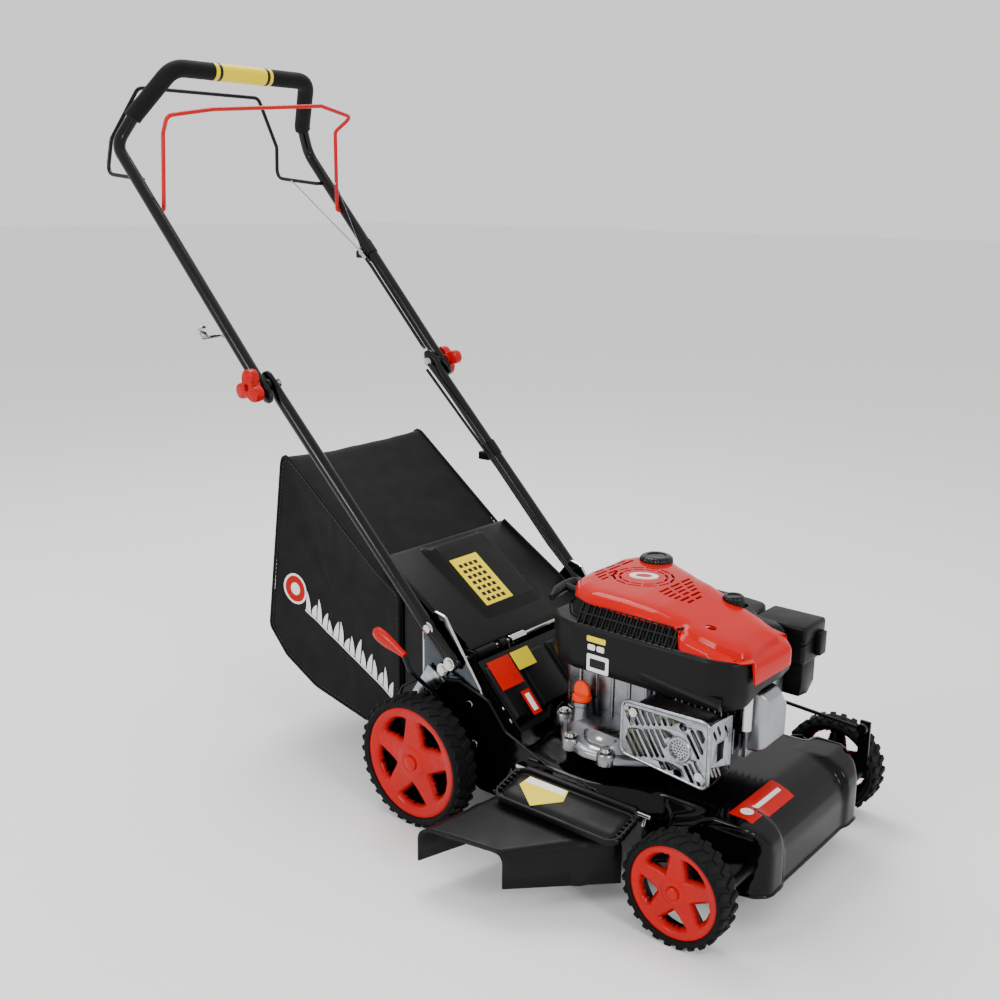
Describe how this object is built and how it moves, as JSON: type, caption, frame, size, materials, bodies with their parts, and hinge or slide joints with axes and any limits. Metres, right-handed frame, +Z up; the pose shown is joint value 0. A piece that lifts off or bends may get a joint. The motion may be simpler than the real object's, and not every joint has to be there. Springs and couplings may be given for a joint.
{
  "type": "push lawn mower",
  "caption": "Walk-behind rotary lawn mower: pressed deck, petrol engine, folding tubular handle with two control bails, spoked wheels, rear grass bag, side chute.",
  "frame": {"origin": "on the ground, in the middle of the machine's footprint box", "axes": "+Y towards the handle and the operator, +X to the operator's left, +Z up"},
  "size_m": [0.607, 1.309, 1.1356],
  "materials": {
    "deck_enamel": "gloss black baked enamel",
    "tube_enamel": "gloss black powder coat",
    "black_plastic": "fine-grained moulded black plastic",
    "glossy_plastic": "smooth moulded black plastic",
    "foam": "black closed-cell foam",
    "bag_cloth": "coated woven black polyester",
    "red_plastic": "glossy red moulded plastic",
    "red_wire": "red dipped plastic coat on steel wire",
    "orange_plastic": "satin orange moulded plastic",
    "zinc_steel": "zinc plated pressed steel",
    "cast_alloy": "as-cast aluminium alloy",
    "dark_steel": "blackened steel",
    "wire_black": "black dipped coat on steel wire",
    "tyre_rubber": "moulded black rubber with lugs",
    "cable_sheath": "black extruded cable sheath"
  },
  "bodies": {
    "chassis": {"deck": "deck_enamel", "rear_tunnel": "black_plastic", "rear_cover": "black_plastic", "flap_hinge_rod": "zinc_steel", "side_flap_rod": "zinc_steel", "right_handle_bracket": "zinc_steel", "left_handle_bracket": "zinc_steel", "right_lower_tube": "tube_enamel", "left_lower_tube": "tube_enamel", "drive_cable_lower": "cable_sheath", "brake_cable_lower": "cable_sheath", "height_plate": "zinc_steel", "drive_belt": "cable_sheath", "crankcase": "cast_alloy", "cylinder": "cast_alloy", "rocker_cover": "zinc_steel", "spark_plug": "zinc_steel", "muffler": "dark_steel", "muffler_guard": "zinc_steel", "blower_shroud": "black_plastic", "top_cowl": "red_plastic", "fuel_tank": "black_plastic", "air_filter_box": "black_plastic", "carburettor": "cast_alloy"},
    "blade_rotor": {"crankshaft": "dark_steel", "blade_adapter": "cast_alloy", "blade": "dark_steel", "blade_bolt": "zinc_steel", "flywheel": "cast_alloy"},
    "starter_pulley": {"starter_pulley": "black_plastic"},
    "starter_grip": {"starter_grip": "black_plastic"},
    "rear_flap": {"rear_flap": "black_plastic"},
    "side_flap": {"side_flap": "black_plastic"},
    "side_chute": {"side_chute": "black_plastic"},
    "grass_bag": {"bag_fabric": "bag_cloth", "bag_frame": "dark_steel"},
    "upper_handle": {"upper_handle": "tube_enamel", "foam_grip": "foam", "drive_cable_upper": "cable_sheath", "brake_cable_upper": "cable_sheath"},
    "right_knob": {"right_knob": "red_plastic"},
    "left_knob": {"left_knob": "red_plastic"},
    "drive_bail": {"drive_bail": "wire_black"},
    "brake_bail": {"brake_bail": "red_wire"},
    "rear_axle": {"rear_axle": "dark_steel", "gearbox": "cast_alloy", "height_lever": "wire_black", "lever_grip": "red_plastic"},
    "front_axle": {"front_axle": "dark_steel"},
    "height_link_rod": {"height_link_rod": "dark_steel"},
    "fuel_cap": {"fuel_cap": "black_plastic"},
    "dipstick": {"dipstick": "orange_plastic"},
    "rear_right_wheel": {"rear_right_tyre": "tyre_rubber", "rear_right_rim": "red_plastic"},
    "rear_left_wheel": {"rear_left_tyre": "tyre_rubber", "rear_left_rim": "red_plastic"},
    "front_right_wheel": {"front_right_tyre": "tyre_rubber", "front_right_rim": "red_plastic"},
    "front_left_wheel": {"front_left_tyre": "tyre_rubber", "front_left_rim": "red_plastic"}
  },
  "joints": [
    {"name": "blade_spin", "type": "hinge", "parent": "chassis", "child": "blade_rotor", "pos_m": [0.0525, -0.35847, 0.065], "axis": [0, 0, 1], "continuous": true},
    {"name": "starter_pull", "type": "slide", "parent": "chassis", "child": "starter_grip", "axis": [-0.2301, 0.8185, 0.5265], "range_m": [0, 0.45], "stiffness_N_per_m": 12, "springref_m": -0.4},
    {"name": "starter_pulley_spin", "type": "hinge", "parent": "chassis", "child": "starter_pulley", "pos_m": [0.0525, -0.35847, 0.356], "axis": [0, 0, 1], "range_deg": [0, 900]},
    {"name": "rear_flap_hinge", "type": "hinge", "parent": "chassis", "child": "rear_flap", "pos_m": [0.0525, -0.15547, 0.252], "axis": [1, 0, 0], "range_deg": [0, 60]},
    {"name": "side_flap_hinge", "type": "hinge", "parent": "chassis", "child": "side_flap", "pos_m": [-0.1375, -0.38747, 0.13], "axis": [0, 1, 0], "range_deg": [0, 65]},
    {"name": "side_chute_slide", "type": "slide", "parent": "chassis", "child": "side_chute", "axis": [-1, 0, 0], "range_m": [0, 0.2]},
    {"name": "grass_bag_slide", "type": "slide", "parent": "chassis", "child": "grass_bag", "axis": [0, 1, 0], "range_m": [0, 0.35]},
    {"name": "handle_fold", "type": "hinge", "parent": "chassis", "child": "upper_handle", "pos_m": [0.0525, 0.23353, 0.625], "axis": [1, 0, 0], "range_deg": [0, 130]},
    {"name": "right_knob_turn", "type": "hinge", "parent": "upper_handle", "child": "right_knob", "pos_m": [-0.1775, 0.23353, 0.625], "axis": [1, 0, 0], "continuous": true},
    {"name": "left_knob_turn", "type": "hinge", "parent": "upper_handle", "child": "left_knob", "pos_m": [0.2825, 0.23353, 0.625], "axis": [1, 0, 0], "continuous": true},
    {"name": "drive_bail_squeeze", "type": "hinge", "parent": "upper_handle", "child": "drive_bail", "pos_m": [0.0525, 0.54253, 0.94], "axis": [1, 0, 0], "range_deg": [0, 34], "stiffness_Nm_per_rad": 0.6, "springref_deg": -45.84},
    {"name": "brake_bail_squeeze", "type": "hinge", "parent": "upper_handle", "child": "brake_bail", "pos_m": [0.0525, 0.48753, 0.89], "axis": [1, 0, 0], "range_deg": [-20, 0], "stiffness_Nm_per_rad": 0.6, "springref_deg": 45.84},
    {"name": "cut_height", "type": "hinge", "parent": "chassis", "child": "rear_axle", "pos_m": [0.0525, -0.17147, 0.11], "axis": [1, 0, 0], "range_deg": [-25, 0], "deforming": ["drive_belt"]},
    {"name": "front_axle_swing", "type": "hinge", "parent": "chassis", "child": "front_axle", "pos_m": [0.0525, -0.62947, 0.0845], "axis": [1, 0, 0], "range_deg": [-25, 0]},
    {"name": "link_rod_pin", "type": "hinge", "parent": "rear_axle", "child": "height_link_rod", "pos_m": [0.2445, -0.17147, 0.185], "axis": [1, 0, 0], "range_deg": [0, 25]},
    {"name": "fuel_cap_turn", "type": "hinge", "parent": "chassis", "child": "fuel_cap", "pos_m": [0.1275, -0.33047, 0.395], "axis": [0, 0, 1], "continuous": true},
    {"name": "dipstick_turn", "type": "hinge", "parent": "chassis", "child": "dipstick", "pos_m": [-0.0595, -0.33447, 0.23], "axis": [0, 0, 1], "continuous": true},
    {"name": "rear_right_wheel_spin", "type": "hinge", "parent": "rear_axle", "child": "rear_right_wheel", "pos_m": [-0.1725, -0.11747, 0.1], "axis": [1, 0, 0], "continuous": true},
    {"name": "rear_left_wheel_spin", "type": "hinge", "parent": "rear_axle", "child": "rear_left_wheel", "pos_m": [0.2775, -0.11747, 0.1], "axis": [1, 0, 0], "continuous": true},
    {"name": "front_right_wheel_spin", "type": "hinge", "parent": "front_axle", "child": "front_right_wheel", "pos_m": [-0.1775, -0.57547, 0.0745], "axis": [1, 0, 0], "continuous": true},
    {"name": "front_left_wheel_spin", "type": "hinge", "parent": "front_axle", "child": "front_left_wheel", "pos_m": [0.2825, -0.57547, 0.0745], "axis": [1, 0, 0], "continuous": true}
  ],
  "couplings": [
    {"joint": "starter_pulley_spin", "follows": "starter_pull", "rad_per_m": 32.68},
    {"joint": "front_axle_swing", "follows": "cut_height", "ratio": 1},
    {"joint": "link_rod_pin", "follows": "cut_height", "ratio": -1}
  ]
}
